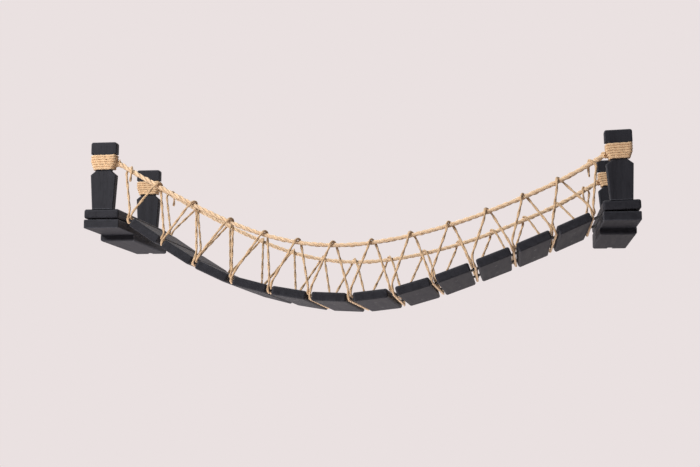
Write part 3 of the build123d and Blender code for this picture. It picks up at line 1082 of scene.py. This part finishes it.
@dataclass
class Knots:
    """Overhand knots in thin rope: one where each rail leaves its winding."""

    plan: BridgePlan
    rails: Handrails
    rope: TwistedRope = TwistedRope(diameter=0.0028, pitch_share=4.6, sides=8, rings_per_turn=10)
    finish: Jute = Jute("knot_jute")
    rise: float = 0.0018
    size: float = 0.0017
    along_rail: float = 0.0015
    samples: int = 180

    def line(self, centre: Array, axis: Array) -> Array:
        """Ties a knot: the trefoil (sin t + 2 sin 2t, cos t - 2 cos 2t, -sin 3t), set square to an axis.

        Args:
            centre: Middle of the knot.
            axis: Direction of the rope that it sits on.

        Returns:
            Points of the knot's line, one a row.
        """
        angle = np.linspace(0, 2 * math.pi, self.samples)
        flat = self.size * np.column_stack([
            np.sin(angle) + 2 * np.sin(2 * angle), np.cos(angle) - 2 * np.cos(2 * angle)
        ])
        axis = axis / np.linalg.norm(axis)
        first = np.cross(axis, np.array([0.0, 1.0, 0.0]))
        first /= np.linalg.norm(first)
        second = np.cross(axis, first)
        return centre + flat @ np.array([first, second]) - self.rise * np.sin(3 * angle)[:, None] * axis

    def build(self) -> None:
        """Makes a knot at both ends of each rail."""
        material = self.finish.material()
        for place in RailPlace:
            corners = np.insert(self.rails.route(place), 1, self.plan.post_y(place), axis=1)
            for side, (end, after) in zip(Side, (corners[:2], corners[:-3:-1])):
                axis = after - end
                centre = end + self.along_rail * axis / np.linalg.norm(axis)
                name = f"{side.label}_{place.name.lower()}_rail_knot"
                piece = self.rope.mesh(name, self.line(centre, axis))
                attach(piece, "frame")
                dress(piece, material)


@dataclass
class Woodwork:
    """Boards, posts and planks, dressed in the charcoal stain, with zinc plated steel."""

    depth_grain: CharcoalStain = CharcoalStain(Grain.ALONG_DEPTH)
    height_grain: CharcoalStain = CharcoalStain(Grain.ALONG_HEIGHT)
    steel: ZincSteel = ZincSteel("zinc_steel")
    stained_steel: ZincSteel = ZincSteel("stained_steel", (0.05, 0.05, 0.054), (0.03, 0.03, 0.033))

    def build(self, nodes: dict[str, Piece]) -> None:
        """Gives each solid its material.

        Args:
            nodes: The solids by name.
        """
        depth, height = self.depth_grain.material(), self.height_grain.material()
        steel, stained = self.steel.material(), self.stained_steel.material()
        finishes = {"_post": height, "_brads": stained, ("_screw", "_screws", "_steel_bracket"): steel}
        for name, solid in nodes.items():
            found = [material for ending, material in finishes.items() if name.endswith(ending)]
            solid.data.materials.clear()
            solid.data.materials.append(found[0] if found else depth)
        LOG.info("dressed %d solids", len(nodes))


@dataclass(frozen=True)
class Lamp:
    """Soft square lamp at a place, which faces an aim. Its power is in watts."""

    name: str
    place: Point
    aim: Point
    size: float
    power: float
    colour: Point

    def build(self) -> None:
        """Sets up the lamp."""
        light = bpy.data.lights.new(self.name, "AREA")
        light.size = self.size
        light.energy = self.power
        light.color = self.colour
        lamp = bpy.data.objects.new(self.name, light)
        turn = (Vector(self.aim) - Vector(self.place)).to_track_quat("-Z", "Y").to_matrix().to_4x4()
        lamp.matrix_world = Matrix.Translation(self.place) @ turn
        bpy.context.scene.collection.objects.link(lamp)


@dataclass
class Studio:
    """Camera, lamps, floor and pale background."""

    place: Point = (0.245, -2.1837, -0.2722)
    yaw: float = 7.54
    pitch: float = 7.21
    roll: float = -0.16
    focal_pixels: float = 1253.7
    image_width: int = 700
    sensor_width: float = 36.0
    clip_end: float = 50.0
    floor_z: float = -0.75
    floor_half: float = 3.0
    floor_rough: float = 0.9
    backdrop: Point = (0.823, 0.753, 0.753)
    ambient: Point = (1.0, 0.97, 0.96)
    ambient_strength: float = 0.11
    room_gloss: float = 0.04
    pale_way: Point = (0.0, 0.85, 0.52)
    pale_range: tuple[float, float] = (-0.3, 0.5)
    lamps: tuple[Lamp, ...] = (
        Lamp("window", (-1.6, -1.9, 1.15), (-0.1, -0.1, 0.0), 1.0, 78.0, (1.0, 0.98, 0.97)),
        Lamp("ceiling", (0.0, 0.7, 1.9), (0.0, -0.1, -0.2), 1.6, 30.0, (1.0, 0.98, 0.97)),
        Lamp("low_fill", (-0.2, -0.1, -0.74), (-0.1, -0.14, -0.05), 0.8, 11.0, (1.0, 0.95, 0.92)),
    )

    def camera(self) -> None:
        """Sets the camera from its place and its turn to the left and up."""
        yaw, pitch, roll = (math.radians(v) for v in (self.yaw, self.pitch, self.roll))
        turn = Matrix.Rotation(yaw, 4, "Z") @ Matrix.Rotation(math.pi / 2 + pitch, 4, "X")
        lens = bpy.data.cameras.new("camera")
        lens.sensor_width = self.sensor_width
        lens.lens = self.focal_pixels * self.sensor_width / self.image_width
        lens.clip_end = self.clip_end
        camera = bpy.data.objects.new("camera", lens)
        camera.matrix_world = Matrix.Translation(self.place) @ turn @ Matrix.Rotation(-roll, 4, "Z")
        bpy.context.scene.collection.objects.link(camera)
        bpy.context.scene.camera = camera

    def world(self) -> None:
        """Fills the world with soft light, and with the pale background for the rays that look at it.

        Gloss shows the pale background on the wall's side and above, and a darker room on the other side.
        """
        world = bpy.data.worlds.new("studio")
        world.use_nodes = True
        bpy.context.scene.world = world
        nodes = Nodes(world.node_tree)
        ray = nodes.add("ShaderNodeLightPath").outputs
        way = nodes.add("ShaderNodeTexCoord").outputs["Generated"]
        towards = nodes.add("ShaderNodeVectorMath", {0: way, 1: self.pale_way}, operation="DOT_PRODUCT")
        gloss = nodes.span(towards.outputs["Value"], (self.room_gloss, 1.0), *self.pale_range)
        strength = nodes.calculate("MAXIMUM", gloss, ray["Is Camera Ray"])
        seen = nodes.calculate("MAXIMUM", ray["Is Camera Ray"], ray["Is Glossy Ray"])
        soft, pale = (
            nodes.add("ShaderNodeBackground", {"Color": (*colour, 1.0), "Strength": light}).outputs[0]
            for colour, light in ((self.ambient, self.ambient_strength), (self.backdrop, strength))
        )
        mix = nodes.add("ShaderNodeMixShader", {0: seen, 1: soft, 2: pale})
        nodes.add("ShaderNodeOutputWorld", {"Surface": mix.outputs["Shader"]})

    def floor(self) -> None:
        """Lays the plain pale floor under the bridge."""
        mesh = bpy.data.meshes.new("floor")
        corners = [(self.floor_half * x, self.floor_half * y, self.floor_z)
                   for x, y in ((-1, -1), (1, -1), (1, 1), (-1, 1))]
        mesh.from_pydata(corners, [], [range(len(corners))])
        floor = bpy.data.objects.new("floor", mesh)
        colour = (*self.backdrop, 1.0)
        inputs = {"Base Color": colour, "Roughness": self.floor_rough}
        mesh.materials.append(ShaderNodes("pale_floor").finish(inputs))
        bpy.context.scene.collection.objects.link(floor)

    def build(self) -> None:
        """Sets up the camera, the lamps, the world and the floor."""
        bpy.context.scene.view_settings.view_transform = "Standard"
        self.camera()
        self.world()
        self.floor()
        for lamp in self.lamps:
            lamp.build()
        LOG.info("studio ready")


def main() -> None:
    """Loads the solids, dresses them, adds the ropes and sets up the studio."""
    logging.basicConfig(level=logging.INFO, format="%(name)s: %(message)s")
    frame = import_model()
    plan = BridgePlan()
    windings = PostWindings(plan)
    rails = Handrails(plan, windings)
    Studio().build()
    for part in (windings, rails, Lacings(plan, rails), Straps(plan), Knots(plan, rails)):
        part.build()
    Woodwork().build(frame["nodes"])


if __name__ == "__main__":
    main()
